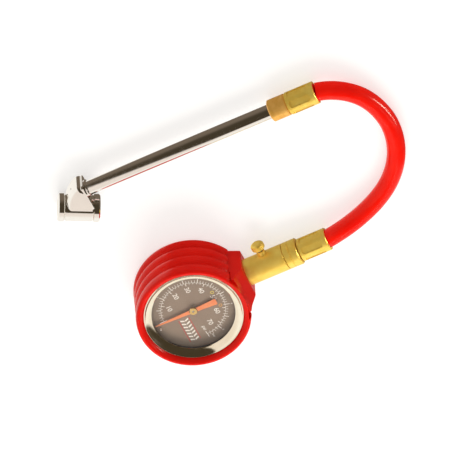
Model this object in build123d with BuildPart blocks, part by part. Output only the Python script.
"""Tyre pressure gauge: dial gauge in a rubber boot, swivelling hose, tube and dual-foot chuck.

Millimetres, +Z up.  The gauge lies on its back: the origin is on the gauge's axis, on the boot's
flat back face, +Z runs out through the dial and +X runs out along the brass stem.
"""
from math import cos, pi, radians, sin, tan
import os

from build123d import *

os.makedirs("parts", exist_ok=True)

# ---------------------------------------------------------------- driving dimensions
# gauge head, radii about Z and heights above the boot's back face
CASE_R = 31.3
CASE_WALL = 1.2
CASE_FLOOR_Z = 2.0
CASE_RIM_Z = 28.3
LEDGE_R = 28.6
DIAL_Z = 25.6
DIAL_THICK = 0.4
DIAL_R = 30.0
GASKET_THICK = 0.6
LENS_THICK = 1.4
LENS_R = 31.2
BEZEL_R = 32.3
BEZEL_BASE_Z = 24.5
BEZEL_CREST_R = 31.5
BEZEL_CREST_Z = 33.5
BEZEL_LIP_R = 26.7

# boot
BOOT_BACK = 2.0
RIB_R = 37.1
GROOVE_R = 35.1
BARE_R = 34.9
RIB_PITCH = 9.2
FIRST_GROOVE_Z = 7.4
RIM_TOP_Z = 36.5
RIB_GAP_HALF = 16.5
LUG_X = 39.2
LUG_HALF_Y = 10.8
LUG_ROOT_X = 31.1
LUG_ROOT_HALF_Y = 14.9
LUG_TOP_Z = 22.0

# stem, along X at Y = 0
STEM_Z = 10.0
STEM_R = 8.7
BODY_START_X = 35.6
BODY_END_X = 65.8
COLLAR_START_X = 66.1
COLLAR_END_X = 75.4
SHANK_R = 5.0
SWIVEL_BORE_R = 5.2

# bleed valve, along +Y out of the stem
BLEED_X = 53.0
BLEED_NECK_R = 2.8
BLEED_HEAD_R = 4.4

# hose, ferrules, tube
HOSE_R = 6.0
HOSE_BORE_R = 3.2
FERRULE_R = 7.45
FERRULE_LENGTH = 19.6
LOWER_FERRULE_X = 75.8
UPPER_Y = 104.0
UPPER_FERRULE_X = 116.4
TUBE_NUT_X = 104.1
TUBE_NUT_R = 7.25
TUBE_R = 4.75
TUBE_BORE_R = 3.4

# dual-foot chuck, its heads on one axis across the tube
CHUCK_CENTRE = Vector(-35.4, 92.6, 9.0)
CHUCK_TURN = 28.5
HEAD_R = 9.0
HEAD_END = 13.4
BARREL_R = 8.6
BARREL_HALF = 8.4
MOUTH_R = 4.15

# movement, gear pair about Z
MODULE = 0.25
PINION_TEETH = 10
SECTOR_TEETH = 110
SECTOR_TURN = 270.0 * PINION_TEETH / SECTOR_TEETH
SECTOR_X = MODULE * (PINION_TEETH + SECTOR_TEETH) / 2
BASE_PLATE_Z = 16.0
TOP_PLATE_Z = 22.0
PLATE_THICK = 1.0
GEAR_Z = 19.2
GEAR_THICK = 1.0
LINK_Z = 20.5
LINK_THICK = 0.6
ARBOR_R = 0.6
RUNNING = 0.05
TAIL_ARM = 6.0
TIP_PIN = (18.0, 14.0)
COIL_R = 22.0
COIL_START = -14.0
COIL_END = -304.0

# the hose's route, from the lower ferrule's mouth round to the upper ferrule's
HOSE_ROUTE = [
    (95.4, 0.0, 10.0),
    (100.4, 0.8, 10.0),
    (110.0, 2.6, 9.6),
    (121.8, 5.6, 8.4),
    (134.7, 10.6, 7.0),
    (146.9, 18.4, 6.2),
    (157.0, 29.6, 6.1),
    (163.9, 43.4, 6.1),
    (166.9, 59.0, 6.1),
    (165.0, 73.2, 6.1),
    (160.6, 84.5, 6.8),
    (154.5, 93.0, 8.1),
    (147.6, 99.1, 9.3),
    (140.4, 102.9, 9.9),
    (136.0, 104.0, 10.0),
]

# ---------------------------------------------------------------- frames of reference
STEM_AXIS = Axis((0, 0, STEM_Z), (1, 0, 0))
TUBE_AXIS = Axis((0, UPPER_Y, STEM_Z), (1, 0, 0))
BLEED_AXIS = Axis((BLEED_X, 0, STEM_Z), (0, 1, 0))
BLEED_PROFILE = Plane(origin=(BLEED_X, 0, STEM_Z), x_dir=(0, 1, 0), z_dir=(1, 0, 0))
HEADS_DIR = Vector(cos(radians(CHUCK_TURN)), -sin(radians(CHUCK_TURN)), 0)
CHUCK_PLAN = Plane(origin=CHUCK_CENTRE, x_dir=HEADS_DIR, z_dir=(0, 0, 1))
HEADS_AXIS = Axis(CHUCK_CENTRE, HEADS_DIR)


def profile_along_x(y):
    """The plane for an outline turned about X at a given Y: along X, then radius."""
    return Plane(origin=(0, y, STEM_Z), x_dir=(1, 0, 0), z_dir=(0, -1, 0))


STEM_PROFILE = profile_along_x(0)
TUBE_PROFILE = profile_along_x(UPPER_Y)


def across_x(x, y=0.0, z=STEM_Z):
    """A plane square to X, for pieces on the stem or the tube."""
    return Plane(origin=(x, y, z), x_dir=(0, 1, 0), z_dir=(1, 0, 0))


def head_profile(side):
    """The plane for one head's turned outline: along the heads' axis, then radius."""
    outward = HEADS_DIR * side
    return Plane(origin=CHUCK_CENTRE, x_dir=outward, z_dir=outward.cross(Vector(0, 0, 1)))


def turned(outline, profile, spin):
    """A turned piece: a closed outline of (along, radius) points, spun about an axis."""
    with BuildPart() as piece:
        with BuildSketch(profile):
            with BuildLine():
                Polyline(*outline, close=True)
            make_face()
        revolve(axis=spin)
    return piece


def ring(inner, outer, low, high):
    """A plain ring about the gauge's axis."""
    with BuildPart() as piece:
        with BuildSketch(Plane.XY.offset(low)):
            Circle(outer)
            Circle(inner, mode=Mode.SUBTRACT)
        extrude(amount=high - low)
    return piece


def coil_spring(start, direction, radius, wire_r, turns, length):
    """A round-wire compression spring, standing on a point."""
    with BuildPart() as piece:
        with BuildLine() as wire:
            Helix(pitch=length / turns, height=length, radius=radius, center=start, direction=direction)
        with BuildSketch(Plane(origin=wire.line @ 0, z_dir=wire.line % 0)):
            Circle(wire_r)
        sweep()
    return piece


def save(piece, label):
    """Label a finished piece and write it as its own STEP file."""
    piece.part.label = label
    export_step(piece.part, f"parts/{label}.step")


# ---------------------------------------------------------------- gauge head: boot
groove_z = [FIRST_GROOVE_Z + RIB_PITCH * n for n in range(3)]
with BuildPart() as boot:
    with BuildSketch(Plane.XZ):
        with BuildLine():
            Polyline((0, 0), (35.5, 0))
            ThreePointArc((35.5, 0), (RIB_R, 3.2), (GROOVE_R, groove_z[0]))
            ThreePointArc((GROOVE_R, groove_z[0]), (36.95, groove_z[0] + 4.6), (GROOVE_R, groove_z[1]))
            ThreePointArc((GROOVE_R, groove_z[1]), (36.85, groove_z[1] + 4.6), (35.0, groove_z[2]))
            ThreePointArc((35.0, groove_z[2]), (36.75, 30.4), (36.6, 34.6))
            ThreePointArc((36.6, 34.6), (36.0, 36.0), (34.6, RIM_TOP_Z))
            ThreePointArc((34.6, RIM_TOP_Z), (33.0, 35.6), (31.7, 33.75))
            Polyline((31.7, 33.75), (32.4, 33.75), (32.4, 24.4), (31.4, 24.4), (31.4, BOOT_BACK),
                     (0, BOOT_BACK), (0, 0))
        make_face()
    revolve(axis=Axis.Z)
    # the ribs stop short of the lug on both sides
    with BuildSketch(Plane.XY):
        with Locations((GROOVE_R, 0)):
            Rectangle(2 * 18, 2 * RIB_GAP_HALF)
        Circle(BARE_R, mode=Mode.SUBTRACT)
    extrude(amount=RIM_TOP_Z + 1, mode=Mode.SUBTRACT)
    # the lug that grips the stem, narrowing outwards
    with BuildSketch(Plane.XZ.offset(-LUG_ROOT_HALF_Y)):
        with BuildLine():
            Polyline((31.8, 0), (LUG_X, 0), (LUG_X, LUG_TOP_Z - 1), (LUG_X - 0.6, LUG_TOP_Z + 0.4),
                     (35.4, 28.2), (34.4, 33.0), (32.6, 33.0), (32.6, 24.2), (31.8, 24.2), close=True)
        make_face()
    extrude(amount=2 * LUG_ROOT_HALF_Y)
    with BuildSketch(Plane.XY):
        for side in (1, -1):
            with BuildLine():
                Polyline((LUG_ROOT_X, side * LUG_ROOT_HALF_Y), (LUG_ROOT_X, side * (LUG_ROOT_HALF_Y + 1)),
                         (LUG_X + 1, side * (LUG_ROOT_HALF_Y + 1)), (LUG_X + 1, side * LUG_HALF_Y),
                         (LUG_X, side * LUG_HALF_Y), close=True)
            make_face()
        Circle(BARE_R, mode=Mode.SUBTRACT)
    extrude(amount=RIM_TOP_Z + 1, mode=Mode.SUBTRACT)
    fillet(boot.edges().filter_by(Axis.Z).sort_by(Axis.X)[-2:], radius=1.2)
    # stem recess in the lug, and the hole that the socket's shank passes through
    with BuildSketch(across_x(LUG_X + 1)):
        Circle(STEM_R + 0.05)
    extrude(amount=BODY_START_X - LUG_X - 1, mode=Mode.SUBTRACT)
    with BuildSketch(across_x(28)):
        Circle(SHANK_R + 0.1)
    extrude(amount=10, mode=Mode.SUBTRACT)
    # the space for the case, and a shallow moulded ring on the back
    with BuildSketch(Plane.XY.offset(BOOT_BACK)):
        Circle(31.4)
    extrude(amount=22.4, mode=Mode.SUBTRACT)
    with BuildSketch(Plane.XY):
        Circle(26.0)
        Circle(23.0, mode=Mode.SUBTRACT)
    extrude(amount=0.6, mode=Mode.SUBTRACT)
save(boot, "boot")

# ---------------------------------------------------------------- gauge head: case and glazing
CASE_SCREWS = [(19.0, 3.0), (19.0, -3.0)]
CASE_SCREW_R = 1.25
with BuildPart() as case:
    with BuildSketch(Plane.XZ):
        with BuildLine():
            Polyline((0, CASE_FLOOR_Z), (CASE_R, CASE_FLOOR_Z), (CASE_R, CASE_RIM_Z),
                     (CASE_R - CASE_WALL, CASE_RIM_Z), (CASE_R - CASE_WALL, DIAL_Z), (LEDGE_R, DIAL_Z),
                     (LEDGE_R, DIAL_Z - 1), (CASE_R - CASE_WALL, DIAL_Z - 2.5),
                     (CASE_R - CASE_WALL, CASE_FLOOR_Z + CASE_WALL), (0, CASE_FLOOR_Z + CASE_WALL),
                     close=True)
        make_face()
    revolve(axis=Axis.Z)
    with BuildSketch(across_x(27)):
        Circle(SHANK_R + 0.1)
    extrude(amount=6, mode=Mode.SUBTRACT)
    with Locations(Plane(origin=(0, 0, CASE_FLOOR_Z), x_dir=(1, 0, 0), z_dir=(0, 0, -1))):
        with Locations(*CASE_SCREWS):
            CounterSinkHole(CASE_SCREW_R + RUNNING, 2.4, depth=3, counter_sink_angle=90)
save(case, "case")

# the dial rests on the case's ledge, held down by a spacer ring, the gasket and the lens
dial_spacer = ring(28.4, DIAL_R, DIAL_Z + DIAL_THICK, CASE_RIM_Z)
save(dial_spacer, "dial_spacer")
lens_gasket = ring(LEDGE_R, LENS_R, CASE_RIM_Z, CASE_RIM_Z + GASKET_THICK)
save(lens_gasket, "lens_gasket")

LENS_Z = CASE_RIM_Z + GASKET_THICK
LENS_TOP_Z = LENS_Z + LENS_THICK
with BuildPart() as lens:
    with BuildSketch(Plane.XY.offset(LENS_Z)):
        Circle(LENS_R)
    extrude(amount=LENS_THICK)
    chamfer(lens.edges().sort_by(Axis.Z)[-1], length=0.3)
save(lens, "lens")

with BuildPart() as bezel:
    with BuildSketch(Plane.XZ):
        with BuildLine():
            Polyline((CASE_R + RUNNING, BEZEL_BASE_Z), (BEZEL_R, BEZEL_BASE_Z), (BEZEL_R, 32.7))
            ThreePointArc((BEZEL_R, 32.7), (32.1, 33.3), (BEZEL_CREST_R, BEZEL_CREST_Z))
            Polyline((BEZEL_CREST_R, BEZEL_CREST_Z), (31.0, 33.2))
            ThreePointArc((31.0, 33.2), (28.9, 31.6), (BEZEL_LIP_R + 0.3, 30.9))
            Polyline((BEZEL_LIP_R + 0.3, 30.9), (BEZEL_LIP_R, 30.7), (BEZEL_LIP_R, LENS_TOP_Z),
                     (CASE_R + RUNNING, LENS_TOP_Z), (CASE_R + RUNNING, BEZEL_BASE_Z))
        make_face()
    revolve(axis=Axis.Z)
save(bezel, "bezel")

STOP_PIN = (-24.6, -3.9)
STOP_PIN_R = 0.5
with BuildPart() as dial_plate:
    with BuildSketch(Plane.XY.offset(DIAL_Z)):
        Circle(DIAL_R)
        Circle(2.0, mode=Mode.SUBTRACT)
        with Locations(STOP_PIN):
            Circle(STOP_PIN_R, mode=Mode.SUBTRACT)
    extrude(amount=DIAL_THICK)
save(dial_plate, "dial_plate")

with BuildPart() as stop_pin:
    with BuildSketch(Plane.XY.offset(DIAL_Z)):
        with Locations(STOP_PIN):
            Circle(STOP_PIN_R)
    extrude(amount=2.3)
    fillet(stop_pin.edges().sort_by(Axis.Z)[-1], radius=0.3)
save(stop_pin, "stop_pin")

# ---------------------------------------------------------------- pointer, at zero along -X
POINTER_Z = 27.3
HUB_R = 2.7
with BuildPart() as pointer:
    with BuildSketch(Plane.XY.offset(POINTER_Z)):
        with BuildLine():
            Polyline((-26.5, 0.35), (-26.5, -0.35), (-2.2, -1.35), (3.0, -1.4), (15.6, -2.2), (16.2, -1.7),
                     (16.2, 1.7), (15.6, 2.2), (3.0, 1.4), (-2.2, 1.35), close=True)
        make_face()
        Circle(2.4)
        Circle(1.6, mode=Mode.SUBTRACT)
    extrude(amount=0.4)
save(pointer, "pointer")

pointer_hub = turned(
    [(ARBOR_R, 26.6), (1.6, 26.6), (1.6, POINTER_Z + 0.4), (HUB_R, POINTER_Z + 0.4), (HUB_R, 28.2),
     (HUB_R - 0.3, 28.5), (ARBOR_R + 0.15, 28.5), (ARBOR_R, 28.35)],
    Plane.XZ, Axis.Z)
save(pointer_hub, "pointer_hub")

# ---------------------------------------------------------------- socket and its screws
SOCKET_START_X = 17.0
SOCKET_END_X = 29.4
SHANK_END_X = 50.0
MOVEMENT_SCREWS = [(25.0, 4.2), (25.0, -4.2)]
SMALL_SCREW_R = 1.1


def coil_sector(inner, outer, low, high, start, end):
    """A slice of ring about the gauge's axis, from start round to end, in degrees."""
    with BuildPart() as piece:
        with BuildSketch(Plane.XY.offset(low)):
            with BuildLine():
                far = CenterArc((0, 0), outer, start, end - start)
                near = CenterArc((0, 0), inner, start, end - start)
                Line(far @ 0, near @ 0)
                Line(far @ 1, near @ 1)
            make_face()
        extrude(amount=high - low)
    return piece


with BuildPart() as socket:
    with BuildSketch(Plane.XY.offset(CASE_FLOOR_Z + CASE_WALL)):
        with Locations(((SOCKET_START_X + SOCKET_END_X) / 2, 0)):
            RectangleRounded(SOCKET_END_X - SOCKET_START_X, 14, 1)
    extrude(amount=BASE_PLATE_Z - CASE_FLOOR_Z - CASE_WALL)
    with BuildSketch(across_x(SOCKET_END_X - 0.5)):
        Circle(SHANK_R)
    extrude(amount=SHANK_END_X - SOCKET_END_X + 0.5)
    chamfer(socket.edges().sort_by(Axis.X)[-1], length=0.6)
    add(coil_sector(COIL_R - 1.1, COIL_R + 1.1, 5.5, 14.5, COIL_START, COIL_START - 12).part,
        mode=Mode.SUBTRACT)
    with BuildSketch(across_x(COIL_R - 0.5)):
        Circle(1.5)
    extrude(amount=SHANK_END_X, mode=Mode.SUBTRACT)
    with BuildSketch(across_x(COIL_R - 0.5).offset(1)):
        with Locations((-2.6, 0)):
            Circle(1.2)
    extrude(amount=-2, mode=Mode.SUBTRACT)
    with BuildSketch(Plane.XY.offset(CASE_FLOOR_Z)):
        with Locations(*CASE_SCREWS):
            Circle(CASE_SCREW_R)
    extrude(amount=6.5, mode=Mode.SUBTRACT)
    with BuildSketch(Plane.XY.offset(BASE_PLATE_Z)):
        with Locations(*MOVEMENT_SCREWS):
            Circle(SMALL_SCREW_R)
    extrude(amount=-3.5, mode=Mode.SUBTRACT)
save(socket, "socket")

with BuildPart() as case_screws:
    with BuildSketch(Plane.XY.offset(CASE_FLOOR_Z + 0.05)):
        with Locations(*CASE_SCREWS):
            Circle(2.2)
    extrude(amount=0.9, taper=45)
    with BuildSketch(Plane.XY.offset(CASE_FLOOR_Z + 0.4)):
        with Locations(*CASE_SCREWS):
            Circle(CASE_SCREW_R)
    extrude(amount=5.8)
    with BuildSketch(Plane.XY.offset(CASE_FLOOR_Z + 0.05)):
        with Locations(*CASE_SCREWS):
            Rectangle(3.4, 0.6)
            Rectangle(0.6, 3.4)
    extrude(amount=0.5, mode=Mode.SUBTRACT)
save(case_screws, "case_screws")

# ---------------------------------------------------------------- Bourdon tube and its tip
with BuildPart() as bourdon_tube:
    add(coil_sector(COIL_R - 1.1, COIL_R + 1.1, 5.5, 14.5, COIL_START, COIL_END).part)
    add(coil_sector(COIL_R - 0.7, COIL_R + 0.7, 5.9, 14.1, COIL_START, COIL_END).part, mode=Mode.SUBTRACT)
save(bourdon_tube, "bourdon_tube")

TIP_POST_Z = LINK_Z - 0.3
with BuildPart() as tube_tip:
    add(coil_sector(COIL_R - 1.4, COIL_R + 1.4, 5.2, 14.8, COIL_END, COIL_END - 16).part)
    with BuildSketch(Plane.XY.offset(12)):
        with Locations(TIP_PIN):
            Circle(1.6)
    extrude(amount=TIP_POST_Z - 12)
    with BuildSketch(Plane.XY.offset(12)):
        with Locations(TIP_PIN):
            Circle(0.5)
    extrude(amount=LINK_Z + LINK_THICK + 0.4 - 12)
save(tube_tip, "tube_tip")

# ---------------------------------------------------------------- movement
PILLARS = [(-4.6, 6.3), (-4.6, -6.3), (11.5, 7.4), (11.5, -7.4)]


def movement_plate(low, end_x, holes):
    """A brass plate from behind the arbor out to end_x, with its bearing and screw holes."""
    with BuildPart() as piece:
        with BuildSketch(Plane.XY.offset(low)):
            with Locations(((end_x - 7.4) / 2, 0)):
                RectangleRounded(end_x + 7.4, 18, 2)
            Circle(ARBOR_R + RUNNING, mode=Mode.SUBTRACT)
            with Locations((SECTOR_X, 0)):
                Circle(0.8 + RUNNING, mode=Mode.SUBTRACT)
            for place, radius in holes:
                with Locations(place):
                    Circle(radius, mode=Mode.SUBTRACT)
        extrude(amount=PLATE_THICK)
    return piece


base_plate = movement_plate(BASE_PLATE_Z, 28.0, [(place, SMALL_SCREW_R) for place in MOVEMENT_SCREWS])
save(base_plate, "base_plate")
top_plate = movement_plate(TOP_PLATE_Z, 16.9, [(place, 0.8) for place in PILLARS])
save(top_plate, "top_plate")

with BuildPart() as pillars:
    with BuildSketch(Plane.XY.offset(BASE_PLATE_Z + PLATE_THICK)):
        with Locations(*PILLARS):
            Circle(1.4)
            Circle(0.8, mode=Mode.SUBTRACT)
    extrude(amount=TOP_PLATE_Z - BASE_PLATE_Z - PLATE_THICK)
save(pillars, "pillars")


def cheese_screws(places, seat_z, shank_r, shank_length, head_r):
    """Slotted screws standing head up on a plate, one solid each."""
    with BuildPart() as piece:
        with BuildSketch(Plane.XY.offset(seat_z - shank_length)):
            with Locations(*places):
                Circle(shank_r)
        extrude(amount=shank_length + 0.1)
        with BuildSketch(Plane.XY.offset(seat_z)):
            with Locations(*places):
                Circle(head_r)
        extrude(amount=0.9)
        with BuildSketch(Plane.XY.offset(seat_z + 0.5)):
            with Locations(*places):
                Rectangle(2 * head_r, 0.4)
        extrude(amount=0.4, mode=Mode.SUBTRACT)
    return piece


pillar_screws = cheese_screws(PILLARS, TOP_PLATE_Z + PLATE_THICK, 0.8, 3.5, 1.4)
save(pillar_screws, "pillar_screws")
movement_screws = cheese_screws(MOVEMENT_SCREWS, BASE_PLATE_Z + PLATE_THICK, SMALL_SCREW_R, 4.2, 1.9)
save(movement_screws, "movement_screws")


def tooth(centre_angle, pitch_r, root_r, tip_r, root_half, tip_half):
    """One straight-sided tooth on a gear about the sketch's own centre."""
    with Locations(Rot(0, 0, centre_angle)):
        Polygon((root_r - 0.2, -root_half), (root_r, -root_half), (pitch_r, -(root_half + tip_half) / 2),
                (tip_r, -tip_half), (tip_r, tip_half), (pitch_r, (root_half + tip_half) / 2),
                (root_r, root_half), (root_r - 0.2, root_half), align=None)


PINION_R = MODULE * PINION_TEETH / 2
SECTOR_R = MODULE * SECTOR_TEETH / 2
ADDENDUM = 0.9 * MODULE
DEDENDUM = 1.3 * MODULE
with BuildPart() as pinion_arbor:
    with BuildSketch(Plane.XY.offset(GEAR_Z - 0.3)):
        Circle(PINION_R - DEDENDUM)
        for n in range(PINION_TEETH):
            tooth(180.0 / PINION_TEETH + 360.0 / PINION_TEETH * n, PINION_R, PINION_R - DEDENDUM,
                  PINION_R + ADDENDUM, 0.2, 0.07)
    extrude(amount=GEAR_THICK + 0.6)
    with BuildSketch(Plane.XY.offset(17.2)):
        Circle(1.1)
    extrude(amount=0.8)
    with BuildSketch(Plane.XY.offset(BASE_PLATE_Z + 0.2)):
        Circle(ARBOR_R)
    extrude(amount=28.3 - BASE_PLATE_Z - 0.2)
save(pinion_arbor, "pinion_arbor")

SECTOR_PITCH = 360.0 / SECTOR_TEETH
SECTOR_SPARE = 2
teeth_past = SECTOR_SPARE
teeth_ahead = int(SECTOR_TURN / SECTOR_PITCH) + 1 + SECTOR_SPARE
tail_turn = -SECTOR_TURN / 2
tail_pin = (TAIL_ARM * cos(radians(tail_turn)), TAIL_ARM * sin(radians(tail_turn)))
with BuildPart() as sector_gear:
    with BuildSketch(Plane(origin=(SECTOR_X, 0, GEAR_Z))):
        with BuildLine():
            low = 180 + SECTOR_PITCH * (teeth_past + 0.5)
            high = 180 - SECTOR_PITCH * (teeth_ahead + 0.5)
            rim = CenterArc((0, 0), SECTOR_R - DEDENDUM, low, high - low)
            Line(rim @ 1, (0, 0))
            Line((0, 0), rim @ 0)
        make_face()
        for n in range(-teeth_past, teeth_ahead + 1):
            tooth(180 - SECTOR_PITCH * n, SECTOR_R, SECTOR_R - DEDENDUM, SECTOR_R + ADDENDUM, 0.18, 0.08)
        Circle(2.0)
        with Locations(Rot(0, 0, tail_turn)):
            with Locations((TAIL_ARM / 2, 0)):
                Rectangle(TAIL_ARM, 2.2)
        with Locations(tail_pin):
            Circle(1.1)
    extrude(amount=GEAR_THICK)
    with BuildSketch(Plane(origin=(SECTOR_X, 0, BASE_PLATE_Z + 0.2))):
        Circle(0.8)
    extrude(amount=TOP_PLATE_Z + PLATE_THICK - BASE_PLATE_Z - 0.4)
    with BuildSketch(Plane(origin=(SECTOR_X, 0, GEAR_Z))):
        with Locations(tail_pin):
            Circle(0.5)
    extrude(amount=LINK_Z + LINK_THICK + 0.3 - GEAR_Z)
save(sector_gear, "sector_gear")

tail_place = Vector(SECTOR_X + tail_pin[0], tail_pin[1], LINK_Z)
tip_place = Vector(TIP_PIN[0], TIP_PIN[1], LINK_Z)
link_run = tip_place - tail_place
with BuildPart() as link:
    with BuildSketch(Plane(origin=tail_place, x_dir=link_run, z_dir=(0, 0, 1))):
        with Locations((link_run.length / 2, 0)):
            Rectangle(link_run.length, 1.3)
        with Locations((0, 0)):
            Circle(1.2)
        with Locations((link_run.length, 0)):
            Circle(1.5)
        Circle(0.5 + RUNNING, mode=Mode.SUBTRACT)
        with Locations((link_run.length, 0)):
            Circle(0.8, mode=Mode.SUBTRACT)
    extrude(amount=LINK_THICK)
save(link, "link")

# the hairspring: half turns of growing radius about the arbor, out to a stud on the base plate
HALF_TURNS = 8
SPRING_STEP = 0.45
SPRING_Z = 17.3
with BuildPart() as hairspring:
    with BuildSketch(Plane.XY.offset(SPRING_Z)):
        with BuildLine():
            reach = 1.2
            for n in range(HALF_TURNS):
                side = 1 if n % 2 == 0 else -1
                radius = reach + SPRING_STEP / 2
                CenterArc((-side * SPRING_STEP / 2, 0), radius, 90 - 90 * side, 180)
                reach = reach + SPRING_STEP
        trace(line_width=0.18)
    extrude(amount=0.6)
save(hairspring, "hairspring")

with BuildPart() as hairspring_stud:
    with BuildSketch(Plane.XY.offset(BASE_PLATE_Z + PLATE_THICK)):
        with Locations((reach + 0.7, 0)):
            Circle(0.6)
    extrude(amount=1.2)
save(hairspring_stud, "hairspring_stud")

# ---------------------------------------------------------------- stem: valve body and collar
SPIGOT_R = 7.0
SPIGOT_END_X = 70.0
GROOVE = 0.35
BLEED_BORE_R = 2.2
NECK_SEAT_Y = STEM_R - 0.6
with BuildPart() as valve_body:
    with BuildSketch(STEM_PROFILE):
        with BuildLine():
            Polyline((BODY_START_X, SHANK_R), (BODY_START_X, STEM_R), (BODY_END_X - 0.3, STEM_R),
                     (BODY_END_X, STEM_R - 0.3), (BODY_END_X, SPIGOT_R), (SPIGOT_END_X, SPIGOT_R),
                     (SPIGOT_END_X, SWIVEL_BORE_R), (57.5, SWIVEL_BORE_R), (57.5, 1.6),
                     (SHANK_END_X, 1.6), (SHANK_END_X, SHANK_R), close=True)
        make_face()
    revolve(axis=STEM_AXIS)
    with BuildSketch(Plane(origin=(BLEED_X, 0, STEM_Z), x_dir=(1, 0, 0), z_dir=(0, 1, 0))):
        Circle(BLEED_BORE_R)
    extrude(amount=STEM_R + 1, mode=Mode.SUBTRACT)
    with BuildSketch(Plane(origin=(BLEED_X, NECK_SEAT_Y, STEM_Z), x_dir=(1, 0, 0), z_dir=(0, 1, 0))):
        Circle(BLEED_NECK_R + RUNNING)
    extrude(amount=2, mode=Mode.SUBTRACT)
save(valve_body, "valve_body")

swivel_collar = turned(
    [(COLLAR_START_X, SPIGOT_R), (COLLAR_START_X, STEM_R - 0.3), (COLLAR_START_X + 0.3, STEM_R),
     (69.9, STEM_R), (70.1, STEM_R - GROOVE), (70.5, STEM_R - GROOVE), (70.7, STEM_R),
     (COLLAR_END_X - 0.5, STEM_R), (COLLAR_END_X, STEM_R - 0.5), (COLLAR_END_X, 4.7),
     (73.2, 4.7), (73.2, SPIGOT_R)],
    STEM_PROFILE, STEM_AXIS)
save(swivel_collar, "swivel_collar")

# ---------------------------------------------------------------- bleed valve
NECK_TOP_Y = 11.4
HEAD_LOW_Y = 13.1
HEAD_TOP_Y = 17.3
BLEED_STEM_R = 0.9
bleed_guide = turned(
    [(4.6, BLEED_STEM_R + RUNNING), (4.6, BLEED_BORE_R), (NECK_SEAT_Y, BLEED_BORE_R),
     (NECK_SEAT_Y, BLEED_NECK_R), (NECK_TOP_Y - 0.3, BLEED_NECK_R), (NECK_TOP_Y, BLEED_NECK_R - 0.3),
     (NECK_TOP_Y, 2.1), (6.2, 2.1), (6.2, BLEED_STEM_R + RUNNING)],
    BLEED_PROFILE, BLEED_AXIS)
save(bleed_guide, "bleed_guide")

with BuildPart() as bleed_button:
    with BuildSketch(BLEED_PROFILE):
        with BuildLine():
            Polyline((HEAD_LOW_Y - 0.4, 0), (HEAD_LOW_Y - 0.4, 1.9), (HEAD_LOW_Y, 1.9), (HEAD_LOW_Y, 3.9),
                     (HEAD_LOW_Y + 0.5, BLEED_HEAD_R), (HEAD_TOP_Y - 1.4, BLEED_HEAD_R))
            ThreePointArc((HEAD_TOP_Y - 1.4, BLEED_HEAD_R), (HEAD_TOP_Y - 0.35, 3.6), (HEAD_TOP_Y, 2.2))
            Polyline((HEAD_TOP_Y, 2.2), (HEAD_TOP_Y, 0), (HEAD_LOW_Y - 0.4, 0))
        make_face()
    revolve(axis=BLEED_AXIS)
    # grip notches round the head
    with BuildSketch(Plane(origin=(BLEED_X, HEAD_LOW_Y, STEM_Z), x_dir=(1, 0, 0), z_dir=(0, 1, 0))):
        with PolarLocations(BLEED_HEAD_R + 0.25, 12):
            Circle(0.6)
    extrude(amount=3.2, mode=Mode.SUBTRACT)
save(bleed_button, "bleed_button")

bleed_pin = turned(
    [(2.0, 0), (2.0, 1.6), (2.8, 1.6), (2.8, BLEED_STEM_R), (HEAD_LOW_Y - 0.4, BLEED_STEM_R),
     (HEAD_LOW_Y - 0.4, 0)],
    BLEED_PROFILE, BLEED_AXIS)
save(bleed_pin, "bleed_pin")

bleed_seal = turned(
    [(2.8, BLEED_STEM_R), (2.8, 1.9), (4.5, 1.9), (4.5, BLEED_STEM_R)],
    BLEED_PROFILE, BLEED_AXIS)
save(bleed_seal, "bleed_seal")

bleed_spring = coil_spring((BLEED_X, 6.5, STEM_Z), (0, 1, 0), 1.5, 0.22, 5, 5.9)
save(bleed_spring, "bleed_spring")

# ---------------------------------------------------------------- swivel and lower hose end
BARB_R = 3.15
BARB_BORE_R = 1.6
swivel_stem = turned(
    [(58.0, BARB_BORE_R), (58.0, SWIVEL_BORE_R - RUNNING), (61.0, SWIVEL_BORE_R - RUNNING), (61.0, 4.2),
     (63.2, 4.2), (63.2, SWIVEL_BORE_R - RUNNING), (70.1, SWIVEL_BORE_R - RUNNING), (70.1, 6.7),
     (73.1, 6.7), (73.1, 4.65), (LOWER_FERRULE_X, 4.65), (LOWER_FERRULE_X, 5.9), (77.8, 5.9),
     (77.8, BARB_R), (92.5, BARB_R), (93.5, BARB_R - 0.8), (93.5, BARB_BORE_R)],
    STEM_PROFILE, STEM_AXIS)
save(swivel_stem, "swivel_stem")

swivel_oring = turned(
    [(61.2, 4.2), (61.2, 5.0), (61.5, SWIVEL_BORE_R - 0.02), (62.7, SWIVEL_BORE_R - 0.02), (63.0, 5.0),
     (63.0, 4.2)],
    STEM_PROFILE, STEM_AXIS)
save(swivel_oring, "swivel_oring")

CRIMP_FLATS = 6
CRIMP_TURN = 9.0
CRIMP_DEPTH = 0.85
CRIMP_START = 2.2
CRIMP_END = 15.8
CRIMP_WIDTH = 4.6


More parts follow.
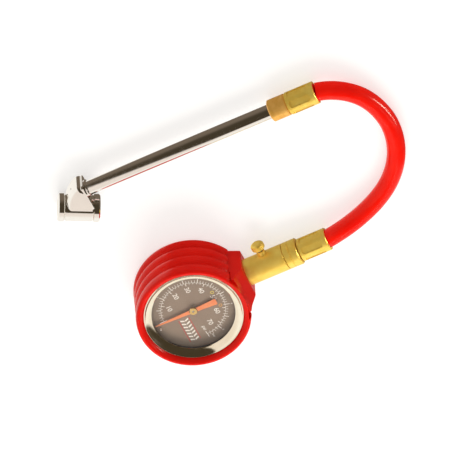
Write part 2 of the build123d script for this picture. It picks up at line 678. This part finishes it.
def ferrule(base, y):
    """A crimped brass sleeve along X: base is its closed end, and its mouth opens towards +X."""
    spin = Axis((0, y, STEM_Z), (1, 0, 0))
    mouth = base + FERRULE_LENGTH
    with BuildPart() as piece:
        with BuildSketch(profile_along_x(y)):
            with BuildLine():
                Polyline((base, 5.9), (base, FERRULE_R - 0.6), (base + 0.5, FERRULE_R),
                         (mouth - 0.3, FERRULE_R), (mouth, FERRULE_R - 0.3),
                         (mouth, HOSE_R), (base + 2, HOSE_R),
                         (base + 2, 5.9), close=True)
            make_face()
        revolve(axis=spin)
        # a flat pressed pocket with rounded ends on each of the six sides
        middle = base + (CRIMP_START + CRIMP_END) / 2
        for n in range(CRIMP_FLATS):
            turn = radians(360.0 / CRIMP_FLATS * n + CRIMP_TURN)
            face = Vector(0, cos(turn), sin(turn))
            at = Vector(middle, y, STEM_Z) + face * (FERRULE_R - CRIMP_DEPTH)
            with BuildSketch(Plane(origin=at, x_dir=(1, 0, 0), z_dir=face)):
                RectangleRounded(CRIMP_END - CRIMP_START, CRIMP_WIDTH, 1.1)
            extrude(amount=2, mode=Mode.SUBTRACT)
    return piece


lower_ferrule = ferrule(LOWER_FERRULE_X, 0)
save(lower_ferrule, "lower_ferrule")
upper_ferrule = ferrule(UPPER_FERRULE_X, UPPER_Y)
save(upper_ferrule, "upper_ferrule")


def hose_end(base, y):
    """The end of the hose that a ferrule crimps onto its barb."""
    with BuildPart() as piece:
        with BuildSketch(across_x(base + 2.05, y)):
            Circle(HOSE_R - 0.02)
            Circle(BARB_R + 0.02, mode=Mode.SUBTRACT)
        extrude(amount=FERRULE_LENGTH - 2.05)
    return piece


hose_end_lower = hose_end(LOWER_FERRULE_X, 0)
save(hose_end_lower, "hose_end_lower")
hose_end_upper = hose_end(UPPER_FERRULE_X, UPPER_Y)
save(hose_end_upper, "hose_end_upper")

# ---------------------------------------------------------------- hose
route = [Vector(*point) for point in HOSE_ROUTE]
HOSE_TUCK = 1.0
runs = [after - before for before, after in zip(route, route[1:])]
turns = [first.get_angle(second) for first, second in zip(runs, runs[1:])]
radii = [0.45 * min(first.length, second.length) / tan(radians(turn) / 2)
         for first, second, turn in zip(runs, runs[1:], turns)]
tucked = [route[0] - runs[0].normalized() * HOSE_TUCK, *route[1:-1],
          route[-1] + runs[-1].normalized() * HOSE_TUCK]
with BuildPart() as hose:
    with BuildLine() as hose_path:
        FilletPolyline(*tucked, radius=radii)
    with BuildSketch(Plane(origin=hose_path.line @ 0, z_dir=hose_path.line % 0)):
        Circle(HOSE_R)
    sweep()
    # both ends are trimmed flush with the ferrules' mouths, which the hose leaves at a small angle
    for ferrule_x, mouth_y in ((LOWER_FERRULE_X, 0), (UPPER_FERRULE_X, UPPER_Y)):
        with BuildSketch(across_x(ferrule_x + FERRULE_LENGTH, mouth_y)):
            Rectangle(4 * HOSE_R, 4 * HOSE_R)
        extrude(amount=-10, mode=Mode.SUBTRACT)
print("hose arcs", [round(radius, 1) for radius in radii])
hose_length = sum(edge.length for edge in hose_path.edges()) - 2 * HOSE_TUCK
print("hose length", round(hose_length, 2), "volume / section",
      round(hose.part.volume / (pi * HOSE_R ** 2), 2))
save(hose, "hose")

# ---------------------------------------------------------------- upper fitting and tube
NIPPLE_START_X = 110.6
TUBE_END_X = 110.4
tube_nipple = turned(
    [(NIPPLE_START_X, BARB_BORE_R), (NIPPLE_START_X, 5.5), (UPPER_FERRULE_X - 0.1, 5.5),
     (UPPER_FERRULE_X - 0.1, 5.9), (UPPER_FERRULE_X + 2, 5.9), (UPPER_FERRULE_X + 2, BARB_R),
     (133.0, BARB_R), (134.0, BARB_R - 0.8), (134.0, BARB_BORE_R)],
    TUBE_PROFILE, TUBE_AXIS)
save(tube_nipple, "tube_nipple")

tube_nut = turned(
    [(TUBE_NUT_X, TUBE_R + RUNNING), (TUBE_NUT_X, TUBE_NUT_R - 1.0), (TUBE_NUT_X + 0.7, TUBE_NUT_R),
     (UPPER_FERRULE_X - 0.7, TUBE_NUT_R), (UPPER_FERRULE_X - 0.1, TUBE_NUT_R - 0.6),
     (UPPER_FERRULE_X - 0.1, 5.55), (107.6, 5.55), (107.6, TUBE_R + RUNNING)],
    TUBE_PROFILE, TUBE_AXIS)
save(tube_nut, "tube_nut")

tube_olive = turned(
    [(107.7, TUBE_R), (107.7, 5.0), (108.4, 5.5), (109.6, 5.5), (110.4, 5.0), (110.4, TUBE_R)],
    TUBE_PROFILE, TUBE_AXIS)
save(tube_olive, "tube_olive")

# the flange face of the chuck, square to the tube, and how deep the tube goes in
FLANGE_X = -25.5
TUBE_SEAT = 8.0
with BuildPart() as tube:
    with BuildSketch(across_x(FLANGE_X - TUBE_SEAT, UPPER_Y)):
        Circle(TUBE_R)
        Circle(TUBE_BORE_R, mode=Mode.SUBTRACT)
    extrude(amount=TUBE_END_X - FLANGE_X + TUBE_SEAT)
save(tube, "tube")

# ---------------------------------------------------------------- chuck
SLAB_LOW = -7.3
SLAB_HIGH = 8.2
FLANGE_LOW_Y = 91.4
FLANGE_HIGH_Y = 110.2
SEAL_R = 6.5
SEAL_BACK = 6.4
PIN_BORE_R = 3.4
WEB_HALF = 1.0
with BuildPart() as chuck_body:
    with BuildSketch(CHUCK_PLAN.offset(SLAB_LOW)):
        with BuildLine():
            Polyline((0.6, 19.5), (9.4, 3.3), (8.4, 0), (-8.4, 0), (-8.4, 5.5))
            ThreePointArc((-8.4, 5.5), (-6.9, 12.6), (-3.6, 18.2))
            ThreePointArc((-3.6, 18.2), (-1.7, 19.5), (0.6, 19.5))
        make_face()
    extrude(amount=SLAB_HIGH - SLAB_LOW)
    slab_faces = chuck_body.faces().sort_by(Axis.Z)
    rear_arcs = slab_faces[-1].edges().filter_by(GeomType.CIRCLE)
    fillet(rear_arcs, radius=3.6)
    fillet(slab_faces[0].edges(), radius=1.2)
    with BuildSketch(Plane(origin=CHUCK_CENTRE - HEADS_DIR * BARREL_HALF,
                           x_dir=(0, 0, 1), z_dir=HEADS_DIR)):
        Circle(BARREL_R)
    extrude(amount=2 * BARREL_HALF)
    # flange and boss where the tube goes in
    with BuildSketch(across_x(FLANGE_X - 0.4, (FLANGE_LOW_Y + FLANGE_HIGH_Y) / 2, 9.4)):
        RectangleRounded(FLANGE_HIGH_Y - FLANGE_LOW_Y, 16.6, 2.5)
    extrude(amount=1.2)
    with BuildSketch(across_x(FLANGE_X, UPPER_Y)):
        Circle(5.9)
    extrude(amount=2.6)
    fillet(chuck_body.faces().sort_by(Axis.X)[-1].outer_wire().edges(), radius=0.6)
    with BuildSketch(across_x(FLANGE_X - TUBE_SEAT, UPPER_Y)):
        Circle(TUBE_R)
    extrude(amount=20, mode=Mode.SUBTRACT)
    # room for the caps, the chambers behind the heads, and the air passage from the tube to both
    for side in (1, -1):
        outward = HEADS_DIR * side
        with BuildSketch(Plane(origin=CHUCK_CENTRE + outward * BARREL_HALF, z_dir=outward)):
            Circle(HEAD_R + 0.15)
        extrude(amount=HEAD_END, mode=Mode.SUBTRACT)
        for depth, radius in ((SEAL_BACK, SEAL_R), (WEB_HALF, PIN_BORE_R)):
            with BuildSketch(Plane(origin=CHUCK_CENTRE + outward * depth, z_dir=outward)):
                Circle(radius)
            extrude(amount=BARREL_HALF - depth + 0.1, mode=Mode.SUBTRACT)
    with BuildSketch(Plane(origin=CHUCK_CENTRE, z_dir=HEADS_DIR)):
        Circle(1.3)
    extrude(amount=2, both=True, mode=Mode.SUBTRACT)
    passage = Vector(FLANGE_X - TUBE_SEAT + 0.5, UPPER_Y, STEM_Z) - CHUCK_CENTRE
    with BuildSketch(Plane(origin=CHUCK_CENTRE, z_dir=passage)):
        Circle(1.4)
    extrude(amount=passage.length, mode=Mode.SUBTRACT)
save(chuck_body, "chuck_body")

for name, side in (("front", 1), ("rear", -1)):
    outward = HEADS_DIR * side
    spin = Axis(CHUCK_CENTRE, outward)
    cap = turned(
        [(BARREL_HALF + 0.02, MOUTH_R), (BARREL_HALF + 0.02, HEAD_R - 0.9), (BARREL_HALF + 0.7, HEAD_R - 0.9),
         (BARREL_HALF + 1.2, HEAD_R), (HEAD_END - 0.8, HEAD_R), (HEAD_END, HEAD_R - 0.9), (HEAD_END, 5.6),
         (HEAD_END - 0.5, 5.2), (HEAD_END - 0.5, MOUTH_R + 0.2), (HEAD_END - 0.7, MOUTH_R)],
        head_profile(side), spin)
    save(cap, f"chuck_cap_{name}")
    seal = turned(
        [(SEAL_BACK, 2.2), (SEAL_BACK, SEAL_R - 0.05), (BARREL_HALF, SEAL_R - 0.05), (BARREL_HALF, 2.2)],
        head_profile(side), spin)
    save(seal, f"chuck_seal_{name}")
    depressor = turned(
        [(2.6, 0), (2.6, 1.2), (5.1, 1.2), (5.1, 3.2), (6.2, 3.2), (6.2, 1.1), (BARREL_HALF - 0.4, 1.1),
         (BARREL_HALF - 0.1, 0.8), (BARREL_HALF - 0.1, 0)],
        head_profile(side), spin)
    save(depressor, f"depressor_pin_{name}")
    spring = coil_spring(CHUCK_CENTRE + outward * 1.4, outward, 2.2, 0.3, 4, 3.3)
    save(spring, f"chuck_spring_{name}")
